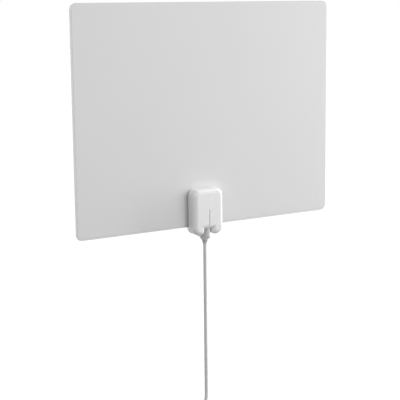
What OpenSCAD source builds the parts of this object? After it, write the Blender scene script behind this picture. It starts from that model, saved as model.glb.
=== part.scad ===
// Indoor flat-sheet television aerial. A thin laminated sheet holds two foil
// elements, a two-shell pod clamps the sheet's lower edge, and a thin coaxial
// lead hangs from the pod's keel. Millimetres, +Z up, the front faces -Y, and
// the wall it hangs on is the plane y = 0.

/* [Sheet] */
// Width of the sheet
sheet_w = 330; // [260:1:420]
// Height of the sheet
sheet_h = 250; // [190:1:320]
// Radius of the sheet's corners
sheet_r = 7; // [3:0.5:20]
// Thickness of each of the two laminated films
film_t = 0.35; // [0.25:0.05:0.6]
// Distance of the pod from the sheet's middle, to the left
pod_offset = 8; // [0:1:20]
// Width of the sealed margin round the front film
margin_w = 2.2; // [1:0.1:5]
// Step from the front film's face down to its sealed margin
margin_step = 0.1; // [0.05:0.01:0.15]

/* [Foil elements] */
// Thickness of the foil
foil_t = 0.1; // [0.05:0.01:0.15]
// Width of each element's band of foil
foil_band = 26; // [10:1:40]
// Distance from the sheet's edge to the foil
foil_inset = 12; // [8:1:30]
// Distance between the two elements
foil_split = 10; // [8:0.5:14]
// Radius of the elements' corners
foil_r = 4; // [1:0.5:8]
// Rise of the elements' lower bands above the pod
foil_rise = 6; // [2:0.5:20]
// Width of the feed tab that runs down into the pod
tab_w = 4.2; // [3.2:0.1:4.4]
// Clearance between a foil edge and its pocket
foil_play = 0.15; // [0.1:0.05:0.3]

/* [Pod] */
// Width of the pod
pod_w = 38.5; // [38:0.5:50]
// Height of the pod without its keel
pod_h = 52; // [50:0.5:70]
// Depth of the front shell, from the sheet to its face
pod_d = 14; // [12.5:0.5:20]
// Height of the pod's top above the sheet's lower edge
pod_lift = 43; // [41:0.5:45]
// Wall of the front shell
shell_t = 1.6; // [1.2:0.1:2]
// Thickness of the rear shell
rear_t = 2; // [1.8:0.1:3]
// Radius of the pod's two upper corners
top_r = 7; // [6:0.5:9]
// Outer round of a lobe's lower end, as a share of the lobe's width
lobe_outer = 0.61; // [0.56:0.01:0.63]
// Inner round of a lobe's lower end, as a share of the lobe's width
lobe_inner = 0.34; // [0.31:0.01:0.36]
// Soft edge round the front face, as a share of the lobes' inner round
edge_share = 0.96; // [0.7:0.01:0.98]

/* [Lobes and keel] */
// Width of the notch between the two lobes, at the sheet
notch_w = 9; // [8:0.5:9.5]
// Height of the notch above the lobes' lower ends
notch_h = 6.8; // [6.4:0.1:8]
// Width of the keel's base
keel_w = 10.4; // [10:0.1:11]
// Length of the keel below the lobes
keel_drop = 3.5; // [2.5:0.5:6]
// Radius of the keel's nose
nose_r = 1.5; // [1.3:0.1:2]
// Distance of the nose behind the face
nose_back = 0.4; // [0.2:0.1:0.8]
// Width of the groove down the face and the nose
groove_w = 1.4; // [0.8:0.1:1.8]
// Depth of the groove
groove_d = 0.8; // [0.4:0.1:1]
// Height of the groove's upper end above the pod's middle
groove_top = 3; // [0:0.5:8]

/* [Fastenings] */
// Distance of the case screws from the pod's sides
screw_side = 6.95; // [6.8:0.05:7.2]
// Distance of the upper case screws below the pod's top
screw_top = 9.5; // [9:0.1:10]
// Height of the lower case screws above the lobes' lower ends
screw_low = 7.5; // [7.2:0.1:7.8]
// Diameter of a case screw's shank
screw_d = 2; // [1.8:0.1:2.2]
// Diameter of a case screw's head
head_d = 3.6; // [3.2:0.1:4]
// Height of a case screw's head
head_t = 1.1; // [0.9:0.1:1.2]
// Reach of a case screw into its boss
screw_bite = 6.5; // [5:0.5:8]
// Diameter of a boss round a case screw
boss_d = 4.8; // [4.4:0.1:5]
// Clearance between a screw and its bore
screw_play = 0.05; // [0.03:0.01:0.1]

/* [Circuit board] */
// Distance of the circuit board's sides from the pod's sides
board_side = 10.25; // [10.2:0.05:11]
// Height of the board's lower edge above the lobes' lower ends
board_up = 17.5; // [17.2:0.1:18]
// Distance of the board's upper edge below the pod's top
board_top = 6.5; // [6:0.5:8]
// Thickness of the circuit board
board_t = 1; // [0.8:0.1:1.6]
// Distance of the board's screws from its sides
board_screws_in = 3; // [2.5:0.1:3.5]
// Distance of the board's screws from its upper and lower edges
board_screws_end = 3; // [2.5:0.1:3.5]
// Diameter of the small screws for the board and the clamp
small_d = 1.6; // [1.4:0.1:1.8]
// Diameter of a small screw's head
small_head_d = 2.8; // [2.6:0.1:3]
// Height of a small screw's head
small_head_t = 0.8; // [0.6:0.1:0.9]
// Diameter of a post that takes a small screw
post_d = 3.4; // [3:0.1:3.8]
// Reach of a small screw into its post
small_bite = 3.5; // [2.5:0.5:4]

/* [Matching transformer] */
// Width of the two-hole ferrite core
core_w = 7; // [6.5:0.5:8]
// Height of the core
core_h = 6; // [5:0.5:7]
// Thickness of the core
core_t = 4; // [3.6:0.2:4.4]
// Diameter of the core's two holes
core_hole_d = 1.8; // [1.6:0.1:2]
// Distance between the two holes
core_pitch = 3.2; // [3:0.1:3.6]
// Diameter of the enamelled wire
wire_d = 0.4; // [0.3:0.05:0.5]
// Turns of wire through each hole
wire_turns = 3; // [1:1:3]

/* [Foil contacts] */
// Width of a contact spring
contact_w = 2.2; // [1.8:0.1:2.4]
// Thickness of a contact spring
contact_t = 0.3; // [0.2:0.05:0.4]
// Length of the foot that lies on the foil
contact_foot = 4; // [3:0.5:5]
// Clearance round a foot in its window
window_play = 0.5; // [0.3:0.1:0.8]

/* [Lead] */
// Diameter of the lead
cord_d = 4; // [3.6:0.1:4.2]
// Distance of the lead's axis behind the pod's face
lead_back = 10.4; // [10:0.1:10.8]
// Diameter of the strain relief's collar
collar_d = 10.4; // [9:0.1:10.6]
// Height of the collar
collar_t = 2.2; // [1.6:0.1:3]
// Diameter of the ring under the collar
ring_d = 7.5; // [7:0.1:8.5]
// Height of the ring
ring_t = 1.4; // [1:0.1:2]
// Diameter of the tapered neck at its upper end
neck_top_d = 6.4; // [6:0.1:6.8]
// Diameter of the tapered neck at its lower end
neck_end_d = 4.8; // [4.6:0.1:5.4]
// Length of the tapered neck
neck_l = 4.4; // [3:0.1:8]
// Diameter of the waist inside the keel
waist_d = 5.6; // [5.2:0.1:6]
// Diameter of the flange inside the keel
flange_d = 7.6; // [7:0.1:7.8]
// Height of the flange inside the keel
flange_t = 2; // [1.5:0.1:2.4]
// Thickness of the keel's end wall
end_wall = 2.2; // [1.8:0.1:2.6]
// Clearance of the strain relief in its seat
seat_play = 0.1; // [0.05:0.05:0.2]

/* [Lead inside the pod] */
// Diameter of the lead's braid
braid_d = 3; // [2.8:0.1:3.2]
// Diameter of the lead's inner insulation
dielectric_d = 2.3; // [2:0.1:2.4]
// Diameter of the lead's centre wire
centre_d = 0.7; // [0.5:0.1:0.8]
// Height of the jacket's cut end above the lobes' lower ends
jacket_up = 14.2; // [14:0.1:14.6]
// Length of braid left bare
braid_l = 1.8; // [1.4:0.1:2]
// Length of centre wire that lies on the board
centre_l = 6; // [4:0.5:7]
// Width of the lead clamp
clamp_w = 12; // [11.6:0.1:12.4]
// Height of the lead clamp
clamp_h = 3.4; // [3:0.1:3.6]
// Thickness of the lead clamp
clamp_t = 2.4; // [2.2:0.1:2.6]
// Distance between the clamp's screws
clamp_span = 8.6; // [8.4:0.1:8.8]

/* [Plug] */
// Diameter of the plug's grip
grip_d = 11.6; // [11:0.1:13]
// Length of the plug's grip
grip_l = 22; // [18:1:30]
// Diameter of the grip's waist
grip_waist_d = 10; // [9.4:0.1:10.8]
// Length of the sleeve between the lead and the grip
sleeve_l = 11; // [8:1:20]
// Outer diameter of the plug's metal shell
socket_d = 9.5; // [9:0.1:10]
// Wall of the plug's metal shell
socket_t = 0.6; // [0.4:0.1:0.8]
// Length of metal shell that stands out of the grip
socket_l = 9.5; // [8:0.5:12]
// Length of metal shell held in the grip
socket_hold = 4; // [3:0.5:6]
// Diameter of metal shell held in the grip
socket_hold_d = 9.1; // [8.9:0.1:9.4]
// Diameter of the plug's centre pin
pin_d = 2.3; // [2:0.1:2.6]
// Distance of the pin's tip behind the shell's mouth
pin_back = 0.6; // [0.2:0.1:1]
// Thickness of the insulator that centres the pin
insulator_t = 3; // [2:0.5:4]

/* [Hidden] */
$fn = 64;

// Depths from the wall, each measured towards the front
rim = rear_t + 2 * film_t;
face = rim + pod_d;
axis_depth = face - lead_back;
foil_back = rear_t + film_t - foil_t;

// Heights in the pod, whose middle is the origin
pod_top = pod_h / 2;
lobe_end = -pod_h / 2;
sheet_low = pod_top - pod_lift;
sheet_mid = sheet_low + sheet_h / 2;
notch_top = lobe_end + notch_h;
lobe_w = (pod_w - notch_w) / 2;
bottom_r = lobe_outer * lobe_w;
inner_r = lobe_inner * lobe_w;
bevel = edge_share * inner_r;
keel_end = lobe_end - keel_drop;
collar_end = keel_end - collar_t;
ring_end = collar_end - ring_t;
lead_exit = ring_end - neck_l;
jacket_end = lobe_end + jacket_up;
braid_end = jacket_end + braid_l;
sheet_gap = 0.15;

// Places and sizes of what the pod holds
board_w = pod_w - 2 * board_side;
board_low = lobe_end + board_up;
board_h = pod_top - board_top - board_low;
board_back = axis_depth + centre_d / 2 + 0.05;
board_front = board_back + board_t;
board_mid = board_low + board_h / 2;
core_mid = board_mid + 3;
core_back = board_front + 1.4;
clamp_mid = jacket_end - clamp_h / 2 - 0.6;
clamp_back = rim + 0.15;
tab_x = foil_split / 2 + tab_w / 2;
tab_low = board_low + 4;
contact_z = tab_low + contact_foot / 2 + 1.4;
post_bore = small_d + 2 * screw_play;

// Route of the lead where it isn't coiled: it falls straight and swings
// over to the coil's left side, then leaves the coil there for the plug
drop_route = [
    [0, -6.3, -37.5], [0, -6.3, -44], [0, -6.3, -52], [0, -6.3, -64],
    [0, -6.3, -78], [0, -6.3, -92], [0, -6.3, -106], [0, -6.3, -120],
    [0, -6.3, -134], [0, -6.3, -148], [0, -6.3, -162], [0, -6.3, -176],
    [0, -6.3, -190], [0, -6.3, -204], [0, -6.3, -214], [-0.5, -6.5, -220.5],
    [-2, -6.8, -226.5], [-5, -7, -231], [-9, -7, -235]
];
tail_route = [
    [-28, -7, -283], [-28, -7, -290], [-28, -7, -297], [-28, -7, -304], [-28, -7, -311]
];
coil_at = [0, -7, -266];
coil_r = 24;
coil_half = 6.4;
coil_lead = 13;
tie_turn = 62;
tie_w = 6;
tie_t = 1;
route_sides = 8;

plug_x = -28;
plug_y = -7;
plug_top = -311;
grip_top = plug_top - sleeve_l;
grip_end = grip_top - grip_l;
socket_end = grip_end - socket_l;

// Turns plan shapes, drawn as x, up and depth, so that they stand on the wall
module upright() rotate([90, 0, 0]) children();

// A disc or hole whose axis runs from the wall to the front
module across(d, from, to) translate([0, 0, from]) cylinder(d = d, h = to - from);

// A disc or hole whose axis runs up, at the lead's depth
module along(d, from, to) translate([0, axis_depth, from]) cylinder(d = d, h = to - from);

// Turns shapes drawn as x, depth and up into the plan's order
module raised() mirror([0, 1, -1]) children();

// A flat rectangle with four round corners
module rounded(w, h, r) {
    square([w - 2 * r, h], center = true);
    square([w, h - 2 * r], center = true);
    for (x = [-1, 1], y = [-1, 1])
        translate([x * (w / 2 - r), y * (h / 2 - r)]) circle(r = r);
}

// Section of a wall's edge as distance inwards and depth: square at the rear
// and round at the front. t is how far it lies inside the pod's own surface
module edge_section(wide, t, from) {
    r = bevel - t;
    top = face - t;
    translate([0, from]) square([wide, top - r - from]);
    translate([r, from]) square([wide - r, top - from]);
    intersection() {
        translate([r, top - r]) circle(r = r);
        translate([-1, top - r]) square([r + 1, r + 1]);
    }
}

// The edge along a straight side, from a corner of the plan in a direction
module edge_bar(at, turn, length, wide, t, from)
    translate([at[0], at[1], 0]) rotate([0, 0, turn]) rotate([90, 0, 90])
        linear_extrude(height = length) edge_section(wide, t, from);

// The edge round a corner: a quarter of a round pillow
module edge_corner(at, turn, r, t, from)
    translate([at[0], at[1], 0]) rotate([0, 0, turn]) rotate_extrude(angle = 90) intersection() {
        translate([r, 0]) mirror([1, 0]) edge_section(r + 1, t, from);
        square([r + 1, face + 1]);
    }

// The pod's form at a distance t inside its surface: the edge carried round
// the outline with its two lobes, and plain blocks that fill the middle
module pod_form(t, from) {
    side = pod_w / 2 - t;
    top = pod_top - t;
    low = lobe_end + t;
    inner = notch_w / 2 + t;
    roof = notch_top + t;
    r_top = top_r - t;
    r_low = bottom_r - t;
    r_in = inner_r - t;
    r = bevel - t;
    over = roof + r + 1;
    depth = face - t - from;
    edge_bar([side - r_top, top], 180, 2 * (side - r_top), r_top, t, from);
    edge_bar([-inner - r_in, roof], 0, 2 * (inner + r_in), r + 1, t, from);
    translate([-side + r_low, roof + r, from])
        cube([2 * (side - r_low), top - r_top - roof - r, depth]);
    for (flip = [0, 1]) mirror([flip, 0, 0]) {
        edge_bar([side, low + r_low], 90, top - r_top - low - r_low, r_low, t, from);
        edge_bar([inner + r_in, low], 0, side - r_low - inner - r_in, r_low, t, from);
        edge_bar([inner, over], -90, over - low - r_in, r_in, t, from);
        edge_corner([side - r_top, top - r_top], 0, r_top, t, from);
        edge_corner([side - r_low, low + r_low], 270, r_low, t, from);
        edge_corner([inner + r_in, low + r_in], 180, r_in, t, from);
        translate([inner + r_in, low + r_low, from])
            cube([side - r_low - inner - r_in, over - low - r_low, depth]);
    }
}

// The pod's outline at the sheet, with its lobes and the keel's base
module pod_plan() {
    side = pod_w / 2;
    inner = notch_w / 2;
    translate([-side, lobe_end + bottom_r]) square([pod_w, pod_h - bottom_r - top_r]);
    translate([-side + top_r, 0]) square([pod_w - 2 * top_r, pod_top]);
    translate([-keel_w / 2, keel_end]) square([keel_w, -keel_end]);
    for (flip = [0, 1]) mirror([flip, 0]) {
        translate([side - top_r, pod_top - top_r]) circle(r = top_r);
        translate([side - bottom_r, lobe_end + bottom_r]) circle(r = bottom_r);
        translate([inner + inner_r, lobe_end + inner_r]) circle(r = inner_r);
        translate([inner + inner_r, lobe_end])
            square([side - bottom_r - inner - inner_r, bottom_r + 1]);
        translate([inner, lobe_end + inner_r]) square([inner_r, bottom_r]);
    }
}

// Plan of the keel: straight sides up to the lead's axis, then two flanks
// that run to a round nose
module keel_plan() {
    half = keel_w / 2;
    nose_at = face - nose_back - nose_r;
    run = nose_at - axis_depth;
    reach = norm([half, run]);
    turn = atan2(-run, half) + acos(nose_r / reach);
    touch = [nose_r * cos(turn), nose_at + nose_r * sin(turn)];
    polygon([[-half, rim], [half, rim], [half, axis_depth], touch,
             [-touch[0], touch[1]], [-half, axis_depth]]);
    translate([0, nose_at]) circle(r = nose_r);
}

// The four places of the case screws
module at_case_screws()
    for (x = [-1, 1], z = [pod_top - screw_top, lobe_end + screw_low])
        translate([x * (pod_w / 2 - screw_side), z, 0]) children();

// The two places of the board's screws
module at_board_screws()
    for (z = [-1, 1])
        translate([-z * (board_w / 2 - board_screws_in),
                   board_mid + z * (board_h / 2 - board_screws_end), 0]) children();

// The two places of the clamp's screws
module at_clamp_screws()
    for (x = [-1, 1])
        translate([x * clamp_span / 2, clamp_mid, 0]) children();

// A screw that is driven from the wall's side: head first, then its shank
module screw(d, head, head_h, from, reach) {
    across(head, from, from + head_h);
    across(d, from, reach);
}

// Space for the strain relief, open to the rear
module relief_seat(d, low, high) {
    r = d / 2 + seat_play;
    raised() along(2 * r, low, high);
    translate([-r, low, rim - 1]) cube([2 * r, high - low, axis_depth - rim + 1]);
}

module front_shell() color("white") upright() {
    seat_low = keel_end + end_wall;
    difference() {
        union() {
            pod_form(0, rim);
            raised() translate([0, 0, keel_end])
                linear_extrude(height = notch_top + 3 - keel_end) keel_plan();
        }
        difference() {
            pod_form(shell_t, rim - 1);
            at_case_screws() across(boss_d, 0, face);
            at_board_screws() across(post_d, board_front, face);
            at_clamp_screws() across(post_d, clamp_back + clamp_t, face);
        }
        at_case_screws() across(screw_d + 2 * screw_play, 0, rim + screw_bite + 1);
        at_board_screws() across(post_bore, 0, board_front + small_bite + 0.5);
        at_clamp_screws() across(post_bore, 0, clamp_back + clamp_t + small_bite + 0.5);
        relief_seat(waist_d, keel_end - 1, notch_top + shell_t + 2);
        relief_seat(flange_d, seat_low, seat_low + flange_t + 2 * seat_play);
        groove();
    }
}

// The groove down the middle of the face and the keel's nose
module groove() {
    length = groove_top - keel_end + 1;
    translate([0, keel_end - 1, face - groove_d])
        rotate([-90, 0, 0]) linear_extrude(height = length)
            polygon([[0, 0], [groove_w, -2 * groove_d], [-groove_w, -2 * groove_d]]);
}

module rear_shell() color("white") upright() {
    difference() {
        union() {
            linear_extrude(height = rear_t) pod_plan();
            linear_extrude(height = rim) intersection() {
                pod_plan();
                translate([-pod_w, keel_end - 1])
                    square([2 * pod_w, sheet_low - sheet_gap - keel_end + 1]);
            }
            relief_saddle();
        }
        at_case_screws() across(head_d + 0.3, -1, head_t + 0.1);
        at_case_screws() across(screw_d + 0.4, -1, rim + 1);
        raised() along(flange_d + 2 * seat_play, keel_end + end_wall,
                       keel_end + end_wall + flange_t + 2 * seat_play);
    }
}

// Block of the rear shell that holds the strain relief's waist from behind
module relief_saddle() {
    wide = waist_d - 0.4;
    high = end_wall - 0.2;
    difference() {
        translate([-wide / 2, keel_end, 0]) cube([wide, high, axis_depth - waist_d / 4]);
        raised() along(waist_d + 2 * seat_play, keel_end - 1, keel_end + high + 1);
    }
}

module case_screws() color("silver") upright()
    at_case_screws() screw(screw_d, head_d, head_t, 0.1, rim + screw_bite);

// Plan of a left element: a band of foil round an open field that reaches out
// towards the sheet's side, and the tab that carries it down into the pod
module element_plan(reach, grow) {
    low = pod_top + foil_rise;
    high = sheet_low + sheet_h - foil_inset;
    w = reach - foil_split / 2;
    h = high - low;
    translate([-foil_split / 2 - w / 2, low + h / 2]) difference() {
        rounded(w + 2 * grow, h + 2 * grow, foil_r);
        rounded(w - 2 * foil_band - 2 * grow, h - 2 * foil_band - 2 * grow, foil_r);
    }
    translate([-tab_x - tab_w / 2 - grow, tab_low - grow])
        square([tab_w + 2 * grow, low + foil_band / 2 - tab_low + grow]);
}

module left_plan(grow) element_plan(sheet_w / 2 - pod_offset - foil_inset, grow);

module right_plan(grow) mirror([1, 0]) element_plan(sheet_w / 2 + pod_offset - foil_inset, grow);

module sheet_plan(inset) translate([pod_offset, sheet_mid])
    rounded(sheet_w - 2 * inset, sheet_h - 2 * inset, sheet_r - inset);

// Holes through the films for the upper case screws
module film_holes() at_case_screws() across(screw_d + 0.6, 0, face);

module back_film() color("gainsboro") upright() difference() {
    translate([0, 0, rear_t]) linear_extrude(height = film_t) sheet_plan(0);
    translate([0, 0, foil_back]) linear_extrude(height = film_t) {
        left_plan(foil_play);
        right_plan(foil_play);
    }
    film_holes();
}

module front_film() color("gainsboro") upright() difference() {
    translate([0, 0, rear_t + film_t]) union() {
        linear_extrude(height = film_t - margin_step) sheet_plan(0);
        linear_extrude(height = film_t) sheet_plan(margin_w);
    }
    for (x = [-tab_x, tab_x])
        translate([x - contact_w / 2 - window_play, contact_z - contact_foot / 2 - window_play, 0])
            cube([contact_w + 2 * window_play, contact_foot + 2 * window_play, face]);
    film_holes();
}

module left_element() color("lightgray") upright()
    translate([0, 0, foil_back]) linear_extrude(height = foil_t) left_plan(0);

module right_element() color("lightgray") upright()
    translate([0, 0, foil_back]) linear_extrude(height = foil_t) right_plan(0);

module circuit_board() color("seagreen") upright() difference() {
    translate([0, board_mid, board_back])
        linear_extrude(height = board_t) rounded(board_w, board_h, 1);
    at_board_screws() across(small_d + 0.4, 0, face);
}

module board_screws() color("silver") upright()
    at_board_screws()
        screw(small_d, small_head_d, small_head_t, board_back - small_head_t - 0.02,
              board_front + small_bite);

// The two-hole core stands on the board's front, its holes upright
module matching_core() color("dimgray") upright() difference() {
    translate([0, core_mid - core_h / 2, core_back + core_t / 2]) rotate([-90, 0, 0])
        linear_extrude(height = core_h) rounded(core_w, core_t, core_t / 2 - 0.2);
    for (x = [-1, 1]) translate([x * core_pitch / 2, core_mid - core_h, core_back + core_t / 2])
        rotate([-90, 0, 0]) cylinder(d = core_hole_d, h = 2 * core_h);
}

// A closed loop of wire with square corners eased by balls
module wire_loop(w, h) {
    for (x = [-1, 1]) translate([x * w / 2, -h / 2, 0])
        rotate([-90, 0, 0]) cylinder(d = wire_d, h = h, $fn = 16);
    for (y = [-1, 1]) translate([-w / 2, y * h / 2, 0])
        rotate([0, 90, 0]) cylinder(d = wire_d, h = w, $fn = 16);
    for (x = [-1, 1], y = [-1, 1]) translate([x * w / 2, y * h / 2, 0])
        sphere(d = wire_d, $fn = 16);
}

module core_winding() color("peru") upright() {
    outer = core_w / 2 + wire_d;
    for (x = [-1, 1], i = [0:wire_turns - 1])
        translate([x * (core_pitch / 2 + outer) / 2, core_mid,
                   core_back + core_t / 2 + (i - (wire_turns - 1) / 2) * (wire_d + 0.05)])
            wire_loop(outer - core_pitch / 2, core_h + 2 * wire_d);
    legs = core_h / 2 + wire_d;
    for (x = [-1, 1])
        translate([x * (core_pitch / 2 + outer) / 2, core_mid - legs, board_front])
            cylinder(d = wire_d, h = core_back + core_t / 2 - board_front, $fn = 16);
}

// A strip bent as a stepped spring: its foot lies on the foil and its arm is
// soldered to the board's rear
module contact(x) upright() {
    foot = foil_back + foil_t + 0.02;
    arm = board_back - contact_t - 0.02;
    half = contact_foot / 2;
    translate([x - contact_w / 2, contact_z, 0]) rotate([0, 90, 0]) mirror([1, 0, 0])
        linear_extrude(height = contact_w) polygon([
            [foot, -half], [foot, half],
            [arm, half + 2.4], [arm, half + 6],
            [arm + contact_t, half + 6], [arm + contact_t, half + 2.4 - contact_t],
            [foot + contact_t, half - contact_t], [foot + contact_t, -half]]);
}

module left_contact() color("gold") contact(-tab_x);

module right_contact() color("gold") contact(tab_x);

// Moulded strain relief: a flange and a waist seated in the keel, then a
// collar, a ring and a tapered neck below it
module strain_relief() color("white") upright() raised() {
    waist_end = keel_end + end_wall + seat_play;
    difference() {
        union() {
            along(flange_d, waist_end, waist_end + flange_t);
            along(waist_d, keel_end, waist_end);
            along(waist_d, waist_end + flange_t, waist_end + flange_t + 1.5);
            along(collar_d, collar_end, keel_end);
            along(ring_d, ring_end, collar_end);
            translate([0, axis_depth, lead_exit])
                cylinder(d1 = neck_end_d, d2 = neck_top_d, h = neck_l);
        }
        along(cord_d + 0.1, lead_exit - 1, waist_end + flange_t + 3);
    }
}

module lead_jacket() color("whitesmoke") upright() raised() difference() {
    along(cord_d, lead_exit, jacket_end);
    along(braid_d, lead_exit + 2, jacket_end + 1);
}

module lead_braid() color("silver") upright() raised() {
    wire = 0.6;
    side = braid_d / 2 + wire / 2 - 0.1;
    difference() {
        along(braid_d - 0.04, lead_exit + 2.1, braid_end);
        along(dielectric_d, lead_exit + 2, braid_end + 1);
    }
    translate([side, 0, 0]) along(wire, jacket_end + 0.3, jacket_end + 0.3 + centre_l);
}

module lead_dielectric() color("white") upright() raised() difference() {
    along(dielectric_d - 0.04, lead_exit + 2.1, board_low - 0.2);
    along(centre_d, lead_exit + 2, board_low + 1);
}

module lead_wire() color("peru") upright() raised()
    along(centre_d - 0.04, lead_exit + 2.1, board_low + centre_l);

// Bar that holds the lead's jacket against the front shell's two posts
module lead_clamp() color("white") upright() difference() {
    translate([-clamp_w / 2, clamp_mid - clamp_h / 2, clamp_back])
        cube([clamp_w, clamp_h, clamp_t]);
    raised() along(cord_d + 0.1, clamp_mid - clamp_h, clamp_mid + clamp_h);
    at_clamp_screws() across(small_d + 0.4, 0, face);
    at_clamp_screws() across(small_head_d + 0.3, 0, clamp_back + small_head_t);
}

module clamp_screws() color("silver") upright()
    at_clamp_screws()
        screw(small_d, small_head_d, small_head_t - 0.05, clamp_back + 0.02,
              clamp_back + clamp_t + small_bite);

// Direction of a route at one of its points
function heading(route, i) =
    let (n = len(route),
         d = route[min(i + 1, n - 1)] - route[max(i - 1, 0)])
    d / norm(d);

// Keeps the free lead at its exit where the pod's sizes move that
module hung() translate([0, -drop_route[0][1] - axis_depth, lead_exit - drop_route[0][2]])
    children();

// A tube swept along a route: one ring of points at each point of the route
module sweep(route, d) {
    n = len(route);
    rings = [for (i = [0:n - 1])
        let (t = heading(route, i), u = cross([0, 1, 0], t), w = u / norm(u), v = cross(t, w))
        for (k = [0:route_sides - 1])
            let (a = 360 * (k + 0.5) / route_sides)
            route[i] + d / 2 * (cos(a) * w + sin(a) * v)];
    walls = [for (i = [0:n - 2], k = [0:route_sides - 1])
        let (j = (k + 1) % route_sides, p = i * route_sides)
        each [[p + k, p + route_sides + j, p + j],
              [p + k, p + route_sides + k, p + route_sides + j]]];
    ends = [[for (k = [0:route_sides - 1]) k],
            [for (k = [route_sides - 1:-1:0]) (n - 1) * route_sides + k]];
    polyhedron(rings, concat(walls, ends));
}

module cable_drop() color("whitesmoke") hung() sweep(drop_route, cord_d);

module cable_tail() color("whitesmoke") hung() sweep(tail_route, cord_d);

// The coil as one ring, with the two ends of the lead that leave it
module cable_coil() color("whitesmoke") hung() {
    translate(coil_at) rotate([90, 0, 0])
        rotate_extrude() translate([coil_r, 0]) rounded(2 * coil_half, 2 * coil_half, 2);
    translate(drop_route[len(drop_route) - 1]) rotate([0, -135, 0])
        cylinder(d = cord_d, h = coil_lead);
    translate(tail_route[0]) cylinder(d = cord_d, h = coil_at[2] - tail_route[0][2]);
}

// Band round the coil's turns
module cable_tie() color("white") hung() translate(coil_at)
    rotate([0, -tie_turn, 0]) translate([coil_r, 0, 0]) {
        inner = 2 * coil_half + 0.6;
        translate([0, 0, -tie_w / 2]) linear_extrude(height = tie_w) difference() {
            rounded(inner + 2 * tie_t, inner + 2 * tie_t, 3);
            rounded(inner, inner, 2);
        }
    }

// A round part of the plug, between two heights
module plug_round(d, low, high) translate([plug_x, plug_y, low]) cylinder(d = d, h = high - low);

module plug_grip() color("white") hung() difference() {
    union() {
        translate([plug_x, plug_y, grip_top - 0.01])
            cylinder(d1 = grip_waist_d - 2, d2 = cord_d + 1, h = sleeve_l + 0.01);
        plug_round(grip_waist_d, grip_end, grip_top);
        for (z = [grip_end, grip_top - 3]) plug_round(grip_d, z, z + 3);
        for (i = [0:5]) translate([plug_x, plug_y, grip_end + 3]) rotate([0, 0, 60 * i])
            translate([grip_d / 2 - 1.1, -1, 0]) cube([1, 2, grip_l - 6]);
    }
    plug_round(socket_hold_d + 0.04, grip_end - 1, grip_end + socket_hold);
}

module plug_shell() color("silver") hung() difference() {
    union() {
        plug_round(socket_d, socket_end, grip_end - 0.02);
        plug_round(socket_hold_d, socket_end + 1, grip_end + socket_hold - 0.05);
    }
    plug_round(socket_d - 2 * socket_t, socket_end - 1, grip_end + socket_hold + 1);
}

module plug_insulator() color("ivory") hung() difference() {
    plug_round(socket_d - 2 * socket_t - 0.06, grip_end + socket_hold - 0.1 - insulator_t,
               grip_end + socket_hold - 0.1);
    plug_round(pin_d + 0.06, grip_end - socket_l, grip_end + socket_hold + 1);
}

module plug_pin() color("silver") hung() {
    tip = socket_end + pin_back;
    plug_round(pin_d, tip + pin_d / 2, grip_end + socket_hold - 0.1);
    translate([plug_x, plug_y, tip + pin_d / 2]) sphere(d = pin_d);
}

back_film();
front_film();
left_element();
right_element();
rear_shell();
front_shell();
case_screws();
circuit_board();
board_screws();
matching_core();
core_winding();
left_contact();
right_contact();
strain_relief();
lead_jacket();
lead_braid();
lead_dielectric();
lead_wire();
lead_clamp();
clamp_screws();
cable_drop();
cable_coil();
cable_tie();
cable_tail();
plug_grip();
plug_shell();
plug_insulator();
plug_pin();
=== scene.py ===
"""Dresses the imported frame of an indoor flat-sheet television aerial.

The sheet and the pod keep their solids and get worked finishes. The lead, its
coil and the moulded pieces on it are drawn as surfaces. Metres throughout, in
the frame's own axes: +X right, +Z up, and the front faces -Y.
"""
import logging
import math
from dataclasses import dataclass
from enum import Enum
from typing import Callable

import bpy
import numpy as np
from mathutils import Matrix, Vector


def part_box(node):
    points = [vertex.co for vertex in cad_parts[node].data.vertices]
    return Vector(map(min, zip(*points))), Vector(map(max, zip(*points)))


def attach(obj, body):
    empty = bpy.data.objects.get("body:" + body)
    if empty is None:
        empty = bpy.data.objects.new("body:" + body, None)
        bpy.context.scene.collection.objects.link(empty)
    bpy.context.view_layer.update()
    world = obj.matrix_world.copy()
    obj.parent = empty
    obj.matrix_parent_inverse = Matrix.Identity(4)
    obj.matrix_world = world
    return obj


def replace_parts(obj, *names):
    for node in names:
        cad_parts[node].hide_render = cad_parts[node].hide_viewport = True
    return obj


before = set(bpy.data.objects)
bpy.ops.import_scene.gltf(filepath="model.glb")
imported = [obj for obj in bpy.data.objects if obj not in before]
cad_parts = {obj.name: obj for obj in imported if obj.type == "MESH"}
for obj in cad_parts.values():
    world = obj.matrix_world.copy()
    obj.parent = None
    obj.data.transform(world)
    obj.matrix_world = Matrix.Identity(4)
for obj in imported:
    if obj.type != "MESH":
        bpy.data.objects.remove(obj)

Tree = bpy.types.NodeTree
Node = bpy.types.Node
Socket = bpy.types.NodeSocket
Object = bpy.types.Object
Pair = tuple[float, float]
Triple = tuple[float, float, float]

MM = 0.001
BODY = "root"
LOG = logging.getLogger("aerial")
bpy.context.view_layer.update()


# Nodes and node groups

GROUP_ENDS = {"In": "NodeGroupInput", "Out": "NodeGroupOutput"}
WHITE = (1.0, 1.0, 1.0, 1.0)

# Nearly all of a noise texture's values lie in this span
NOISE_SPAN = (0.3, 0.7)
# The coarse grain's scale, as a share of the fine grain's
COARSE_SCALE = 0.12
# Scuffs grow from none to full over this span of their noise, and are drawn out upwards
SCUFF_SPAN = (0.55, 0.75)
SCUFF_STRETCH = (1.0, 1.0, 0.25)
# What a full scuff adds to the roughness
SCUFF_ROUGHNESS = 0.25
# Painted shade beside walls: the open share of the sky over which it lightens from full depth to none
PAINTED_SHADE_SPAN = (0.2, 0.6)
PAINTED_SHADE_SAMPLES = 16
EDGE_SAMPLES = 8
# How far light wanders inside plastic: each colour's part of the scale
SUBSURFACE_PARTS = (0.4, 0.4, 0.4)
SUBSURFACE_SCALE = 2.0 * MM


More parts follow.
